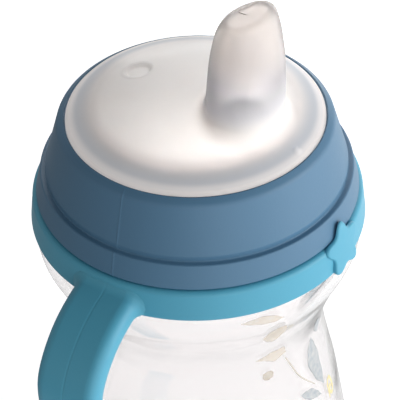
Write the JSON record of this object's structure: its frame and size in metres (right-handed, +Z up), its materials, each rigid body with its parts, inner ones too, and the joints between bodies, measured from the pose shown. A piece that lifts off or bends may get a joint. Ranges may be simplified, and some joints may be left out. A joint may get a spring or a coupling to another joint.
{
  "type": "sippy cup",
  "caption": "Clear waisted bottle with a screw collar, a soft domed spout and a lift-off ring that carries open handles.",
  "frame": {"origin": "middle of the flat foot the cup stands on", "axes": "+Z up along the cup's axis; the handles lie along +X and -X; the spout and the star face -Y"},
  "size_m": [0.1018, 0.0699, 0.1585],
  "materials": {
    "clear_plastic": "clear moulded plastic",
    "collar_plastic": "satin slate blue",
    "ring_plastic": "satin teal blue",
    "silicone": "frosted translucent silicone"
  },
  "bodies": {
    "bottle": {"bottle": "clear_plastic"},
    "handle_ring": {"handle_ring": "ring_plastic"},
    "spout": {"spout": "silicone"},
    "collar": {"collar": "collar_plastic"}
  },
  "joints": [
    {"name": "collar_turn", "type": "hinge", "parent": "spout", "child": "collar", "pos_m": [0, 0, 0.12], "axis": [0, 0, 1], "range_deg": [0, 3600]},
    {"name": "lid_lift", "type": "slide", "parent": "bottle", "child": "spout", "axis": [0, 0, 1], "range_m": [0, 0.0501]},
    {"name": "ring_lift", "type": "slide", "parent": "bottle", "child": "handle_ring", "axis": [0, 0, 1], "range_m": [0, 0.0251]}
  ],
  "couplings": [
    {"joint": "lid_lift", "follows": "collar_turn", "m_per_rad": 0.00079577},
    {"joint": "ring_lift", "follows": "collar_turn", "m_per_rad": 0.00039789}
  ]
}
